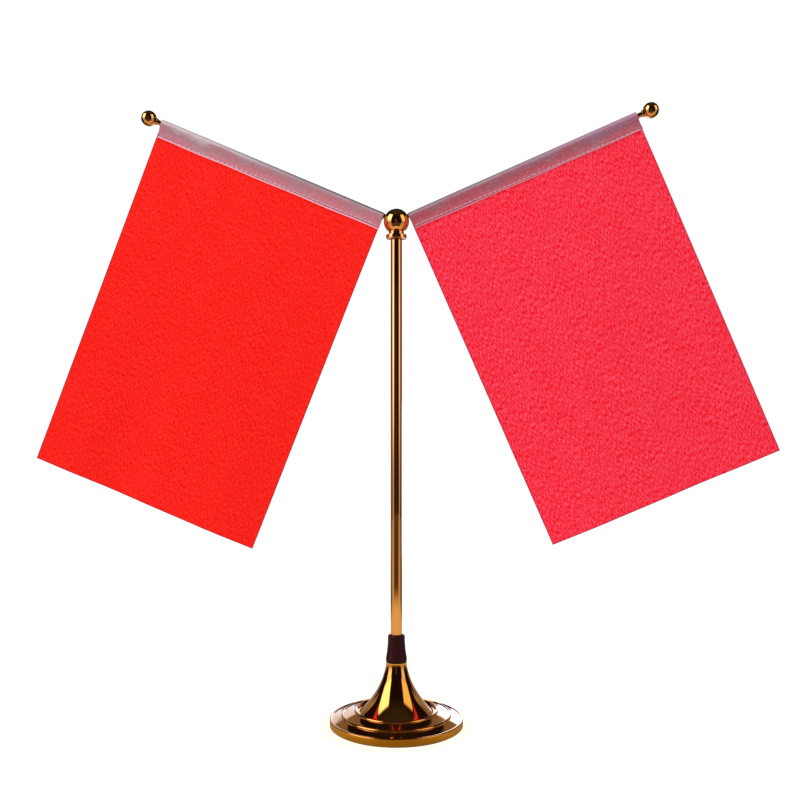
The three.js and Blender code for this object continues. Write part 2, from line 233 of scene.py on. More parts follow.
# Painted light and shade for what the gold sees: lighter on the two sides the soft boxes face and at middle
# distance, darker close to the base, far off and behind the stand.
near_tone = colour_mix(tree, lit_side, NEAR_PAINTED_SHADE, NEAR_PAINTED_LIGHT)
far_tone = colour_mix(tree, lit_side, FAR_PAINTED_SHADE, FAR_PAINTED_LIGHT)
far_tone = colour_mix(tree, in_front, FAR_BEHIND_PAINTED_SHADE, far_tone)
reflected = colour_mix(tree, ramp_between(tree, from_base, *NEAR_ENDS), near_tone, MIDDLE_TONE)
reflected = colour_mix(tree, ramp_between(tree, from_base, *FAR_STARTS), reflected, far_tone)
seen_by_eye = tree.nodes.new("ShaderNodeLightPath").outputs["Is Camera Ray"]
tree.links.new(colour_mix(tree, seen_by_eye, reflected, PAPER_GREY), shader.inputs["Base Color"])
# The paper's own white light, with a painted gold glow round the base that stands in for light thrown off
# the gold.
painted_glow_colour = colour_mix(tree, ramp_between(tree, from_base, *GLOW_FADES), PAINTED_GOLD_GLOW, (1.0, 1.0, 1.0))
tree.links.new(painted_glow_colour, shader.inputs["Emission Color"])
tree.links.new(seen_by_eye, shader.inputs["Emission Strength"])
table_top.data.materials.append(paper)
bpy.context.scene.view_settings.view_transform = "Standard"

# The backdrop shows only in the gold: a lit patch, bluer and brighter to the right, on a dull card.
CARD_BEHIND = 0.4
CARD_WIDTH = 0.90
CARD_HEIGHT = 0.30
PATCH_BOTTOM, PATCH_TOP = 0.03, 0.185
PATCH_HALF_WIDTH = 0.17
PATCH_EDGES = (0.012, 0.03)  # softness at the top and bottom, and at the sides
PATCH_BRIGHTENS = (-0.08, 0.06)
CARD_TOP_STARTS = (0.17, 0.20)
PATCH_LEFT, PATCH_RIGHT = (1.0, 1.15, 1.6), (2.4, 3.0, 4.9)
CARD_LOW_TONE, CARD_TOP_TONE = (0.34, 0.29, 0.21), (0.24, 0.19, 0.12)

bpy.ops.object.select_all(action="DESELECT")
bpy.ops.mesh.primitive_plane_add(size=1)
card = bpy.context.object
card.name = "backdrop_card"
bpy.ops.object.mode_set(mode="EDIT")
bpy.ops.transform.resize(value=(CARD_WIDTH, CARD_HEIGHT, 1))
bpy.ops.object.mode_set(mode="OBJECT")
card.location = (0, CARD_BEHIND, CARD_HEIGHT / 2)
card.rotation_euler = (math.pi / 2, 0, 0)
bpy.ops.object.transform_apply(location=True, rotation=True, scale=True)
card.visible_camera = False
card.visible_diffuse = False
card.visible_shadow = False
card_paper = bpy.data.materials.new("card_paper")
card_paper.use_nodes = True
tree = card_paper.node_tree
tree.nodes.clear()
split = tree.nodes.new("ShaderNodeSeparateXYZ")
tree.links.new(tree.nodes.new("ShaderNodeTexCoord").outputs["Object"], split.inputs[0])
patch_rows = soft_window(tree, split.outputs["Z"], PATCH_BOTTOM, PATCH_TOP, PATCH_EDGES[0])
patch_columns = soft_window(tree, split.outputs["X"], -PATCH_HALF_WIDTH, PATCH_HALF_WIDTH, PATCH_EDGES[1])
to_right = ramp_between(tree, split.outputs["X"], *PATCH_BRIGHTENS)
lit = colour_mix(tree, to_right, PATCH_LEFT, PATCH_RIGHT)
to_top = ramp_between(tree, split.outputs["Z"], *CARD_TOP_STARTS)
unlit = colour_mix(tree, to_top, CARD_LOW_TONE, CARD_TOP_TONE)
tone = colour_mix(tree, maths(tree, "MULTIPLY", patch_rows, patch_columns), unlit, lit)
shine = tree.nodes.new("ShaderNodeEmission")
tree.links.new(tone, shine.inputs["Color"])
tree.links.new(shine.outputs[0], tree.nodes.new("ShaderNodeOutputMaterial").inputs[0])
card.data.materials.append(card_paper)

# ---------------------------------------------------------------- foot pad
# A disc of dense black felt that keeps the metal off the table. It is die-cut from sheet and glued
# under the cast weight.

FELT_CORNER = 0.25 * MM
CREASE = math.radians(35)  # edges sharper than this stay sharp


def filleted(corners, steps=5):
    """The outline of a turned piece, from corners of (radius, height, fillet radius)."""
    outline = []
    for i, (radius, height, fillet) in enumerate(corners):
        here = Vector((radius, height))
        if fillet == 0:
            outline.append(here)
            continue
        before = (Vector(corners[i - 1][:2]) - here).normalized()
        after = (Vector(corners[i + 1][:2]) - here).normalized()
        half = before.angle(after) / 2
        centre = here + (before + after).normalized() * fillet / math.sin(half)
        start = here + before * fillet / math.tan(half) - centre
        end = here + after * fillet / math.tan(half) - centre
        sweep = start.angle_signed(end)
        for step in range(steps + 1):
            turn = Matrix.Rotation(-sweep * step / steps, 2)
            outline.append(centre + turn @ start)
    return outline


def turned(name, outline, facets=160):
    """Spins an outline of (radius, height) up from a circle, ring by ring, and closes it on the axis or
    on itself."""
    on_axis = outline[0][0] == 0
    rings = outline[1:] if on_axis else outline
    radius, height = rings[0]
    bpy.ops.object.select_all(action="DESELECT")
    bpy.ops.mesh.primitive_circle_add(
        vertices=facets, radius=radius, location=(0, 0, height), fill_type="TRIFAN" if on_axis else "NOTHING"
    )
    piece = bpy.context.object
    piece.name = piece.data.name = name
    bpy.ops.object.transform_apply(location=True, rotation=True, scale=True)
    bpy.ops.object.mode_set(mode="EDIT")
    bpy.ops.mesh.select_mode(type="EDGE")
    bpy.ops.mesh.select_all(action="SELECT")
    if on_axis:
        bpy.ops.mesh.region_to_loop()
    for next_radius, next_height in rings[1:]:
        bpy.ops.mesh.extrude_edges_move(TRANSFORM_OT_translate={"value": (0, 0, next_height - height)})
        grow = next_radius / radius
        bpy.ops.transform.resize(value=(grow, grow, 1), center_override=(0, 0, next_height))
        radius, height = next_radius, next_height
    bpy.ops.mesh.select_all(action="SELECT")
    bpy.ops.mesh.remove_doubles(threshold=0.001 * MM)
    bpy.ops.mesh.normals_make_consistent(inside=False)
    bpy.ops.object.mode_set(mode="OBJECT")
    bpy.ops.object.shade_smooth_by_angle(angle=CREASE)
    return piece


def new_finish(name, colour, roughness, metallic=0.0):
    """A material with its main shader set. Returns the material, its node tree and that shader."""
    finish = bpy.data.materials.new(name)
    finish.use_nodes = True
    shader = finish.node_tree.nodes["Principled BSDF"]
    shader.inputs["Base Color"].default_value = (*colour, 1)
    shader.inputs["Roughness"].default_value = roughness
    shader.inputs["Metallic"].default_value = metallic
    return finish, finish.node_tree, shader


def noise(tree, place, scale, detail=2.0, roughness=0.5):
    node = tree.nodes.new("ShaderNodeTexNoise")
    tree.links.new(place, node.inputs["Vector"])
    node.inputs["Scale"].default_value = scale
    node.inputs["Detail"].default_value = detail
    node.inputs["Roughness"].default_value = roughness
    return node.outputs["Fac"]


def object_place(tree, stretch=(1, 1, 1)):
    """Object coordinates, stretched so that a pattern can run one way."""
    place = tree.nodes.new("ShaderNodeTexCoord").outputs["Object"]
    mapping = tree.nodes.new("ShaderNodeMapping")
    mapping.inputs["Scale"].default_value = stretch
    tree.links.new(place, mapping.inputs["Vector"])
    return mapping.outputs[0]


def bump(tree, shader, height, distance, strength=1.0):
    node = tree.nodes.new("ShaderNodeBump")
    node.inputs["Strength"].default_value = strength
    node.inputs["Distance"].default_value = distance
    tree.links.new(height, node.inputs["Height"])
    tree.links.new(node.outputs[0], shader.inputs["Normal"])


pad_low, pad_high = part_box("foot_pad")
pad_radius = pad_high.x
foot_felt = turned(
    "foot_felt",
    filleted([
        (0, pad_low.z, 0),
        (pad_radius, pad_low.z, FELT_CORNER),
        (pad_radius, pad_high.z, FELT_CORNER),
        (0, pad_high.z, 0),
    ]),
    facets=96,
)
felt, tree, shader = new_finish("black_felt", (0.012, 0.012, 0.013), 0.95)
fibres = noise(tree, object_place(tree), 2600, 3)
fluff = colour_mix(tree, fibres, (0.004, 0.004, 0.005), (0.03, 0.03, 0.032))
tree.links.new(fluff, shader.inputs["Base Color"])
shader.inputs["Sheen Weight"].default_value = 0.4
bump(tree, shader, fibres, 0.15 * MM)
foot_felt.data.materials.append(felt)
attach(foot_felt, "base")
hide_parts("foot_pad")

# ---------------------------------------------------------------- base weight
# A stepped disc of grey iron that fills the cover and keeps the stand from tipping. It is sand-cast
# and left rough, because nothing of it shows.

iron, tree, shader = new_finish("cast_iron", (0.05, 0.048, 0.046), 0.7, 0.9)
grit = noise(tree, object_place(tree), 900, 4, 0.7)
rough_cast = colour_mix(tree, grit, (0.03, 0.028, 0.027), (0.09, 0.085, 0.08))
tree.links.new(rough_cast, shader.inputs["Base Color"])
bump(tree, shader, grit, 0.2 * MM)


def coat(node_name, finish):
    """Gives a CAD node its material."""
    node = frame["nodes"][node_name]
    node.data.materials.clear()
    node.data.materials.append(finish)


coat("base_weight", iron)

# ---------------------------------------------------------------- base cover
# A sheet metal shell with a satin rim wall and two polished treads, each behind a rolled lip. It is
# pressed to shape, brushed round the rim, polished on top and plated with a deep amber gold.

RIM_OFF_TABLE = 0.6 * MM
COVER_WALL = 0.8 * MM
LIP_WIDTH = 1.0 * MM
LIP_DROP = 0.45 * MM
LIP_SLOPE = 0.2 * MM
TREAD_RISE = 1.55 * MM
LIP_FILLETS = (0.5 * MM, 0.85 * MM, 0.85 * MM)
UNDERCUT = 0.1 * MM
ROOT_FILLET = 0.12 * MM
HEM_FILLET = 0.3 * MM
SCREW_HOLE = 2.15 * MM
STEPS = ((38 * MM, 4.9 * MM), (31.4 * MM, 7.4 * MM), (24 * MM, 9.7 * MM))  # radius and lip height
SEAT_DROP = 1.5 * MM
RIM_BAND = 0.1 * MM  # upright faces this near the outer radius are the rim wall


def new_effect(name, settings, results):
    """A node group with a place and named settings going in and named values coming out. Returns the
    group, its inlets and its outlets."""
    group = bpy.data.node_groups.new(name, "ShaderNodeTree")
    group.interface.new_socket(name="Place", in_out="INPUT", socket_type="NodeSocketVector")
    for setting, value in settings.items():
        socket = group.interface.new_socket(name=setting, in_out="INPUT", socket_type="NodeSocketFloat")
        socket.default_value = value
    for result in results:
        group.interface.new_socket(name=result, in_out="OUTPUT", socket_type="NodeSocketFloat")
    inlets = group.nodes.new("NodeGroupInput").outputs
    outlets = group.nodes.new("NodeGroupOutput").inputs
    return group, inlets, outlets


def effect_noise(group, inlets, detail, roughness=0.5):
    """Noise at an effect's own place and scale."""
    cloud = noise(group, inlets["Place"], 1.0, detail, roughness)
    group.links.new(inlets["Scale"], cloud.node.inputs["Scale"])
    return cloud


def plating_haze():
    """The faint smears and pinpricks of a plated surface that has been wiped."""
    group, inlets, outlets = new_effect(
        "plating_haze", {"Scale": 60.0, "Clean": 0.04, "Smeared": 0.12}, ("Roughness",)
    )
    smear = ramp_between(group, effect_noise(group, inlets, 5), 0.45, 0.75)
    spread = maths(group, "SUBTRACT", inlets["Smeared"], inlets["Clean"])
    roughness = maths(group, "MULTIPLY_ADD", smear, spread, inlets["Clean"])
    group.links.new(roughness, outlets["Roughness"])
    return group


def grain_lines():
    """Fine lines left by brushing or drawing. The place is stretched to set their way."""
    group, inlets, outlets = new_effect(
        "grain_lines", {"Scale": 1000.0, "Fine": 0.2, "Coarse": 0.35}, ("Roughness", "Height")
    )
    lines = effect_noise(group, inlets, 4, 0.7)
    spread = maths(group, "SUBTRACT", inlets["Coarse"], inlets["Fine"])
    roughness = maths(group, "MULTIPLY_ADD", lines, spread, inlets["Fine"])
    group.links.new(roughness, outlets["Roughness"])
    group.links.new(lines, outlets["Height"])
    return group


HAZE = plating_haze()
GRAIN = grain_lines()


def add_effect(tree, group, place, **values):
    """Puts an effect into a material at a place, with its settings."""
    node = tree.nodes.new("ShaderNodeGroup")
    node.node_tree = group
    tree.links.new(place, node.inputs["Place"])
    for name, value in values.items():
        node.inputs[name].default_value = value
    return node


def polished_gold(name, colour, clean, smeared, scale=60.0, lacquer=0.0):
    """Mirror-bright plating, with lacquer over it where it has any."""
    finish, tree, shader = new_finish(name, colour, clean, 1.0)
    haze = add_effect(tree, HAZE, object_place(tree), Scale=scale, Clean=clean, Smeared=smeared)
    tree.links.new(haze.outputs["Roughness"], shader.inputs["Roughness"])
    shader.inputs["Coat Weight"].default_value = lacquer
    shader.inputs["Coat Roughness"].default_value = 0.03
    return finish


AMBER_GOLD = (0.78, 0.33, 0.045)
amber_polish = polished_gold("amber_gold_polished", AMBER_GOLD, 0.045, 0.11, lacquer=0.6)
amber_satin, tree, shader = new_finish("amber_gold_satin", (0.86, 0.37, 0.025), 0.3, 1.0)
brushing = add_effect(
    tree, GRAIN, object_place(tree, (0.02, 0.02, 1)), Scale=9000.0, Fine=0.28, Coarse=0.46
)
tree.links.new(brushing.outputs["Roughness"], shader.inputs["Roughness"])
bump(tree, shader, brushing.outputs["Height"], 0.004 * MM)

seat = STEPS[-1][1] - SEAT_DROP
outer_corners = [(STEPS[0][0], RIM_OFF_TABLE, HEM_FILLET)]
for step, (radius, lip) in enumerate(STEPS):
    outer_corners.append((radius, lip, LIP_FILLETS[step]))
    outer_corners.append((radius - LIP_WIDTH, lip, ROOT_FILLET))
    if step + 1 < len(STEPS):
        tread = lip - LIP_DROP
        outer_corners.append((radius - LIP_WIDTH - LIP_SLOPE, tread, ROOT_FILLET))
        outer_corners.append((STEPS[step + 1][0] - UNDERCUT, tread + TREAD_RISE, ROOT_FILLET))
    else:
        outer_corners.append((radius - LIP_WIDTH - LIP_SLOPE, seat, ROOT_FILLET))
outer_corners.append((SCREW_HOLE, seat, 0))
inner_corners = [(SCREW_HOLE, seat - COVER_WALL, 0)]
for step in range(len(STEPS) - 1, -1, -1):
    wall = STEPS[step][0] - COVER_WALL
    above = seat if step + 1 == len(STEPS) else STEPS[step][1] - LIP_DROP
    below = RIM_OFF_TABLE if step == 0 else STEPS[step - 1][1] - LIP_DROP - COVER_WALL
    inner_corners.append((wall, above - COVER_WALL, 0))
    inner_corners.append((wall, below, 0))
hem = inner_corners[-1]
stepped_cover = turned("stepped_cover", filleted([hem, *outer_corners, *inner_corners]), facets=256)
stepped_cover.data.materials.append(amber_polish)
stepped_cover.data.materials.append(amber_satin)
for face in stepped_cover.data.polygons:
    on_rim = face.center.xy.length > STEPS[0][0] - RIM_BAND
    if on_rim and abs(face.normal.z) < 0.3:
        face.material_index = 1
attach(stepped_cover, "base")
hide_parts("base_cover")

# ---------------------------------------------------------------- clamp bolt, washer and nut
# Zinc-plated steel. The bolt comes up from under the weight, and the nut pulls the weight and the cover
# together. Its long end reaches up through the collar, and the pole screws down on it.

zinc, tree, shader = new_finish("zinc_plated_steel", (0.5, 0.5, 0.51), 0.35, 1.0)
threads = tree.nodes.new("ShaderNodeTexWave")
threads.bands_direction = "Z"
threads.inputs["Scale"].default_value = 450
tree.links.new(object_place(tree), threads.inputs["Vector"])
spangle = add_effect(tree, HAZE, object_place(tree), Scale=500.0, Clean=0.25, Smeared=0.5)
tree.links.new(spangle.outputs["Roughness"], shader.inputs["Roughness"])
bump(tree, shader, threads.outputs["Fac"], 0.2 * MM, 0.5)
for hidden in ("clamp_bolt", "clamp_washer", "clamp_nut", "pole_foot_insert", "pole_top_insert"):
    coat(hidden, zinc)

# ---------------------------------------------------------------- trumpet column
# A flared gold column that stands on the cover's seat and hides the nut. It is spun from sheet,
# polished and plated like the treads, and the collar presses it down.

FLARE_RUN = 0.678
FOOT_SLOPE = math.radians(40)
MOUTH_PULL = 6.2 * MM
FLARE_WALL = 1.0 * MM
MOUTH_RADIUS = 5.95 * MM
FLARE_POINTS = 56

column_low, column_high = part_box("trumpet_column")


def flare(inset):
    """The column's curve from its foot up to its mouth, moved in by a wall."""
    foot = Vector((column_high.x - inset, column_low.z))
    mouth = Vector((MOUTH_RADIUS - inset, column_high.z))
    run = FLARE_RUN * (foot.x - mouth.x)
    off_foot = foot + Vector((-run, run * math.tan(FOOT_SLOPE)))
    off_mouth = mouth - Vector((0, MOUTH_PULL))
    curve = interpolate_bezier(foot, off_foot, off_mouth, mouth, FLARE_POINTS)
    return [point.to_2d() for point in curve]


outside, inside = flare(0), flare(FLARE_WALL)[::-1]
flared_column = turned("flared_column", [*outside, *inside, outside[0]], facets=256)
flared_column.data.materials.append(amber_polish)
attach(flared_column, "base")
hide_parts("trumpet_column")

# ---------------------------------------------------------------- collar
# A tapered bush of dark maroon plastic between the column and the pole. It is injection moulded, plugs
# into the column's mouth and is held down by the pole's foot.

COLLAR_FOOT = 6.0 * MM
COLLAR_FOOT_HEIGHT = 2.2 * MM
COLLAR_FOOT_FILLET = 0.3 * MM
COLLAR_HOLLOW = 0.8 * MM
COLLAR_TOP = 4.85 * MM
COLLAR_BORE = 3.4 * MM
COLLAR_RIM = 0.9 * MM
COLLAR_RIM_FILLET = 0.99 * COLLAR_RIM  # a hair less, so that the taper keeps its last point
COLLAR_SPIGOT_RADIUS = 4.8 * MM
POLE_SHOULDER = 2.4 * MM
TAPER_POINTS = 28

collar_low, collar_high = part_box("collar")
collar_foot = column_high.z
foot_top = Vector((COLLAR_FOOT, collar_foot + COLLAR_FOOT_HEIGHT))
taper_top = Vector((COLLAR_TOP, collar_high.z - COLLAR_RIM))
third = Vector((0, (taper_top.y - foot_top.y) / 3))
above_foot = foot_top + third - Vector((COLLAR_HOLLOW, 0))
taper = interpolate_bezier(foot_top, above_foot, taper_top - third, taper_top, TAPER_POINTS)
foot_edge = filleted([
    (COLLAR_SPIGOT_RADIUS, collar_foot, 0),
    (COLLAR_FOOT, collar_foot, COLLAR_FOOT_FILLET),
    (*foot_top, 0),
])
rim_corners = [
    (COLLAR_TOP, taper_top.y, 0),
    (COLLAR_TOP, collar_high.z, COLLAR_RIM_FILLET),
    (COLLAR_BORE, collar_high.z, 0),
]
maroon_collar = turned(
    "maroon_collar",
    [
        Vector((SCREW_HOLE, collar_low.z)),
        Vector((COLLAR_SPIGOT_RADIUS, collar_low.z)),
        Vector((COLLAR_SPIGOT_RADIUS, collar_foot)),
        *foot_edge[1:-1],
        *[point.to_2d() for point in taper],
        *filleted(rim_corners, steps=8)[1:],
        Vector((COLLAR_BORE, collar_foot + POLE_SHOULDER)),
        Vector((SCREW_HOLE, collar_foot + POLE_SHOULDER)),
        Vector((SCREW_HOLE, collar_low.z)),
    ],
    facets=128,
)
maroon, tree, shader = new_finish("maroon_plastic", (0.026, 0.0045, 0.005), 0.32)
flow = noise(tree, object_place(tree, (1, 1, 0.3)), 350, 3)
tree.links.new(
    colour_mix(tree, flow, (0.018, 0.0028, 0.0032), (0.030, 0.005, 0.0055)), shader.inputs["Base Color"]
)
tree.links.new(ramp_between(tree, flow, 0.3, 0.7, 0.26, 0.38), shader.inputs["Roughness"])
shader.inputs["Specular IOR Level"].default_value = 0.12
bump(tree, shader, noise(tree, object_place(tree), 1500), 0.01 * MM)
maroon_collar.data.materials.append(maroon)
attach(maroon_collar, "base")
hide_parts("collar")

# ---------------------------------------------------------------- pole
# A thin gold tube that stands on the collar's shoulder. It is drawn, polished along its length and
# plated in a paler gold, and a threaded insert is pressed into each end.

POLE_WALL = 0.5 * MM
TUBE_EDGE = 0.15 * MM

pole_low, pole_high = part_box("pole_tube")
pole_radius = pole_high.x
bore = pole_radius - POLE_WALL
drawn_tube = turned(
    "drawn_tube",
    filleted([
        (bore, pole_low.z, 0),
        (pole_radius, pole_low.z, TUBE_EDGE),
        (pole_radius, pole_high.z, TUBE_EDGE),
        (bore, pole_high.z, 0),
        (bore, pole_low.z, 0),
    ]),
    facets=96,
)
PALE_GOLD = (0.95, 0.45, 0.12)
pale_polish = polished_gold("pale_gold_polished", PALE_GOLD, 0.05, 0.1, 120.0)
pale_drawn, tree, shader = new_finish("pale_gold_drawn", PALE_GOLD, 0.08, 1.0)
drawing = add_effect(
    tree, GRAIN, object_place(tree, (1, 1, 0.01)), Scale=4000.0, Fine=0.03, Coarse=0.08
)
tree.links.new(drawing.outputs["Roughness"], shader.inputs["Roughness"])
drawn_tube.data.materials.append(pale_drawn)
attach(drawn_tube, "pole")
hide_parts("pole_tube")

# ---------------------------------------------------------------- hub
# A brass ball on a short neck and flange, with a stud that screws into the pole. It is turned in one
# piece, drilled for the two rods, polished and plated.

HUB_RADIUS = 7.3 * MM
NECK_RADIUS = 4.35 * MM
FLANGE_RADIUS = 5.9 * MM
FLANGE_HEIGHT = 2.4 * MM
NECK_HEIGHT = 1.7 * MM
FLANGE_EDGE = 0.35 * MM
NECK_FILLET = 0.2 * MM
STUD_RADIUS = 2.0 * MM
STUD_TIP = 0.3 * MM
SEAT_GAP = 0.1 * MM
SOCKET_WEB = 2.2 * MM
FIT_GAP = 0.15 * MM
ROD_RADIUS = 1.4 * MM
HUB_ARC_STEPS = 64

joints = {joint["name"]: joint for joint in frame["joints"]}
hub_centre = Vector(joints["left_flag_swing"]["pos_m"])


def rod_way(side):
    """The direction of a rod, outwards from the hub."""
    return Vector(joints[f"{side}_rod_pull"]["axis"]).normalized()


def ball_arc(centre_height, radius, start, steps):
    """The outline of a ball from a starting angle up to its top."""
    turns = [start + (math.pi / 2 - start) * step / steps for step in range(steps)]
    points = [
        Vector((radius * math.cos(turn), centre_height + radius * math.sin(turn))) for turn in turns
    ]
    return [*points, Vector((0, centre_height + radius))]


stud_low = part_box("hub_ball")[0].z
flange_low = pole_high.z + SEAT_GAP
flange_high = flange_low + FLANGE_HEIGHT
ball_from = math.atan2(flange_high + NECK_HEIGHT - hub_centre.z, NECK_RADIUS)
ball_hub = turned(
    "ball_hub",
    [
        *filleted([
            (0, stud_low, 0),
            (STUD_RADIUS, stud_low, STUD_TIP),
            (STUD_RADIUS, flange_low, 0),
            (FLANGE_RADIUS, flange_low, FLANGE_EDGE),
            (FLANGE_RADIUS, flange_high, FLANGE_EDGE),
            (NECK_RADIUS, flange_high, NECK_FILLET),
            (NECK_RADIUS, flange_high + NECK_HEIGHT, 0),
        ]),
        *ball_arc(hub_centre.z, HUB_RADIUS, ball_from, HUB_ARC_STEPS)[1:],
    ],
    facets=160,
)
reach = 2 * HUB_RADIUS
for side in ("left", "right"):
    bpy.ops.object.select_all(action="DESELECT")
    bpy.ops.mesh.primitive_cylinder_add(
        vertices=64,
        radius=ROD_RADIUS + FIT_GAP,
        depth=reach,
        location=hub_centre + rod_way(side) * (SOCKET_WEB + reach / 2),
        rotation=rod_way(side).to_track_quat("Z", "Y").to_euler(),
    )
    drill = bpy.context.object
    bpy.context.view_layer.objects.active = ball_hub
    socket = ball_hub.modifiers.new("socket", "BOOLEAN")
    socket.object = drill
    bpy.ops.object.modifier_apply(modifier=socket.name)
    bpy.data.objects.remove(drill)
bpy.ops.object.select_all(action="DESELECT")
ball_hub.select_set(True)
bpy.ops.object.shade_smooth_by_angle(angle=CREASE)
ball_hub.data.materials.clear()
ball_hub.data.materials.append(pale_polish)
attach(ball_hub, "hub")
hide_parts("hub_ball")

# ---------------------------------------------------------------- rods
# Two thin gold rods that rise outwards from the hub. Each is cut from drawn wire, chamfered at both
# ends, plated and pushed into its socket.

ROD_START = 2.3 * MM
ROD_END = 156.7 * MM
ROD_CHAMFER = 0.3 * MM


def lay_along_rod(piece, side):
    """Turns a piece made upright on the axis so that it lies along a rod, from the hub's centre."""
    bpy.ops.object.select_all(action="DESELECT")
    piece.select_set(True)
    bpy.context.view_layer.objects.active = piece
    turn = rod_way(side).to_track_quat("Z", "Y").to_matrix().to_4x4()
    piece.matrix_world = Matrix.Translation(hub_centre) @ turn
    bpy.ops.object.transform_apply(location=True, rotation=True, scale=True)


for side in ("left", "right"):
    rod = turned(
        f"{side}_gold_rod",
        [
            Vector((0, ROD_START)),
            Vector((ROD_RADIUS - ROD_CHAMFER, ROD_START)),
            Vector((ROD_RADIUS, ROD_START + ROD_CHAMFER)),
            Vector((ROD_RADIUS, ROD_END - ROD_CHAMFER)),
            Vector((ROD_RADIUS - ROD_CHAMFER, ROD_END)),
            Vector((0, ROD_END)),
        ],
        facets=48,
    )
    lay_along_rod(rod, side)
    rod.data.materials.append(pale_polish)
    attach(rod, f"{side}_rod")
    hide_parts(f"{side}_rod")

# ---------------------------------------------------------------- end balls
# A small gold ball with a short neck at the end of each rod. It is turned, drilled, plated and screwed
# on once the flag's sleeve is on the rod.

END_BALL_RADIUS = 4.5 * MM
END_NECK_START = 151.3 * MM
END_NECK_RADIUS = 1.95 * MM
END_NECK_LENGTH = 1.3 * MM
END_HOLE_RADIUS = ROD_RADIUS + FIT_GAP
END_ARC_STEPS = 44
end_ball_centre = END_NECK_START + END_NECK_LENGTH + math.sqrt(END_BALL_RADIUS**2 - END_NECK_RADIUS**2)
end_ball_from = math.atan2(END_NECK_START + END_NECK_LENGTH - end_ball_centre, END_NECK_RADIUS)

for side in ("left", "right"):
    end_ball = turned(
        f"{side}_gold_ball",
        [
            Vector((0, ROD_END + FIT_GAP)),
            Vector((END_HOLE_RADIUS, ROD_END + FIT_GAP)),
            *filleted([
                (END_HOLE_RADIUS, END_NECK_START, 0),
                (END_NECK_RADIUS, END_NECK_START, NECK_FILLET),
                (END_NECK_RADIUS, END_NECK_START + END_NECK_LENGTH, 0),
            ]),
            *ball_arc(end_ball_centre, END_BALL_RADIUS, end_ball_from, END_ARC_STEPS)[1:],
        ],
        facets=96,
    )
    lay_along_rod(end_ball, side)
    end_ball.data.materials.append(pale_polish)
    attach(end_ball, f"{side}_ball")
    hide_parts(f"{side}_end_ball")

# ---------------------------------------------------------------- flag panels
# Two single-ply panels of the same red brushed polyester; the right one has a painted sheen, a bluer red
# with pinker streaks. They are heat cut and sewn between the two edges of the sleeve, and their colour is
# darker in a thin line along the three cut sides.

PANEL_CUT = (140 * MM, 203 * MM)
PANEL_TOP = 5.0 * MM
PANEL_THICKNESS = 0.28 * MM
PANEL_GRID = (90, 130)
DARK_EDGE_BAND = (0.2 * MM, 0.64 * MM)  # where the dark line starts to fade, and where it has gone
FOLD_DEPTH = 0.9 * MM
RIPPLE_DEPTH = 0.35 * MM
CLOTH_CREASE = math.radians(50)

# How each panel hangs: its ends along the rod at the top and at the bottom, its drop below
# the rod, and how far the inner and outer bottom corners lean back.
HANGS = {
    "left": {
        "top": (8.1 * MM, 148.4 * MM),
        "bottom": (3.9 * MM, 140.1 * MM),
        "drop": 207.7 * MM,
        "back": (7.7 * MM, 0.0),
    },
    "right": {
        "top": (7.8 * MM, 148.1 * MM),
        "bottom": (9.8 * MM, 149.8 * MM),
        "drop": 206.4 * MM,
        "back": (9.0 * MM, 11.0 * MM),
    },
}


def between(first, last, share):
    return first + (last - first) * share


def rod_space(side):
    """A rod's own space: x outwards along the rod, y to the back, z up across the rod."""
    out = rod_way(side)
    back = Vector((0, 1, 0))
    up = Vector((-out.z, 0, out.x)) if out.x > 0 else Vector((out.z, 0, -out.x))
    return Matrix.Translation(hub_centre) @ Matrix((out, back, up)).transposed().to_4x4()


def cloth(name, side, cut, columns, rows, place, thickness):
    """A sheet with a map in metres. place(across, down) gives a point in the rod's space."""
    bpy.ops.object.select_all(action="DESELECT")
    bpy.ops.mesh.primitive_grid_add(x_subdivisions=columns, y_subdivisions=rows, size=1)
    piece = bpy.context.object
    piece.name = piece.data.name = name
    space = rod_space(side)
    for vertex in piece.data.vertices:
        vertex.co = space @ place(vertex.co.x + 0.5, 0.5 - vertex.co.y)
    for corner in piece.data.uv_layers[0].data:
        corner.uv = (corner.uv.x * cut[0], corner.uv.y * cut[1])
    ply = piece.modifiers.new("ply", "SOLIDIFY")
    ply.thickness = thickness
    ply.offset = 0
    bpy.ops.object.modifier_apply(modifier=ply.name)
    bpy.ops.object.mode_set(mode="EDIT")
    bpy.ops.mesh.select_all(action="SELECT")
    bpy.ops.mesh.normals_make_consistent(inside=False)
    bpy.ops.object.mode_set(mode="OBJECT")
    bpy.ops.object.shade_smooth_by_angle(angle=CLOTH_CREASE)
    return piece


def hanging(side):
    """How the panel falls: nearly flat, with a lean and two very shallow folds."""
    hang = HANGS[side]

    def place(across, down):
        inner = between(hang["top"][0], hang["bottom"][0], down)
        outer = between(hang["top"][1], hang["bottom"][1], down)
        lean = between(*hang["back"], across) * down**1.25
        folds = FOLD_DEPTH * math.sin(math.tau * (1.4 * across + 0.35 * down)) * down
        ripple = RIPPLE_DEPTH * math.sin(math.tau * (3.1 * across + 0.2)) * down**2
        return Vector((
            between(inner, outer, across),
            lean + folds + ripple,
            -between(PANEL_TOP, hang["drop"], down),
        ))

    return place


def brushed_streaks():
    """Short soft streaks down a brushed cloth, with a finer grain over them."""
    group, inlets, outlets = new_effect(
        "brushed_streaks", {"Scale": 900.0, "Low": 0.35, "High": 0.65}, ("Streak",)
    )
    grain = effect_noise(group, inlets, 3, 0.65)
    group.links.new(ramp_between(group, grain, inlets["Low"], inlets["High"]), outlets["Streak"])
    return group


STREAKS = brushed_streaks()


